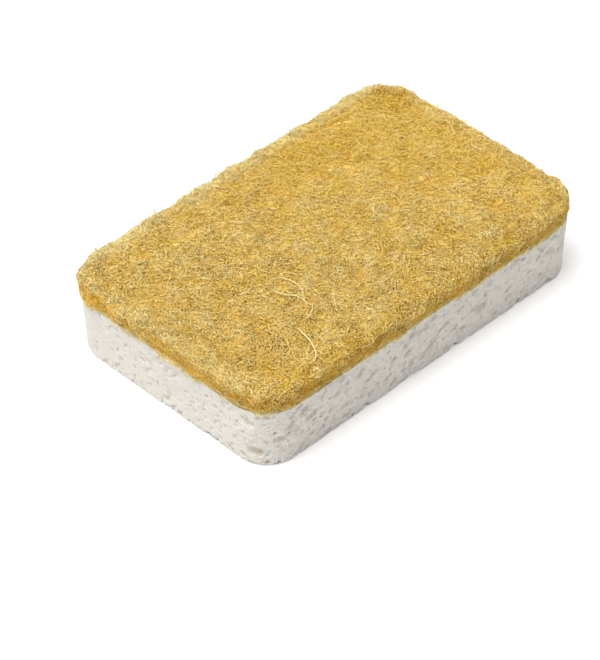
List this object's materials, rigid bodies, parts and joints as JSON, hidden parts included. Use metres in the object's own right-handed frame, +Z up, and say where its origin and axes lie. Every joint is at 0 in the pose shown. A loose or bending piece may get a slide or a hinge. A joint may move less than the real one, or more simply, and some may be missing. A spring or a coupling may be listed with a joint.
{
  "type": "dish sponge",
  "caption": "Dish sponge for hand washing: a rounded block of open-pored cellulose with a scouring mat of plant fibre glued over its top.",
  "frame": {"origin": "middle of the underside", "axes": "+X along the length, +Y across the width, +Z up through the block to the fibre mat"},
  "size_m": [0.1111, 0.0714, 0.0231],
  "materials": {
    "cellulose": "matt, open-pored, off-white",
    "plant_fibre": "matt mat of coarse straw-coloured fibres"
  },
  "bodies": {
    "root": {"cellulose_sponge": "cellulose", "scouring_pad": "plant_fibre"}
  },
  "joints": []
}
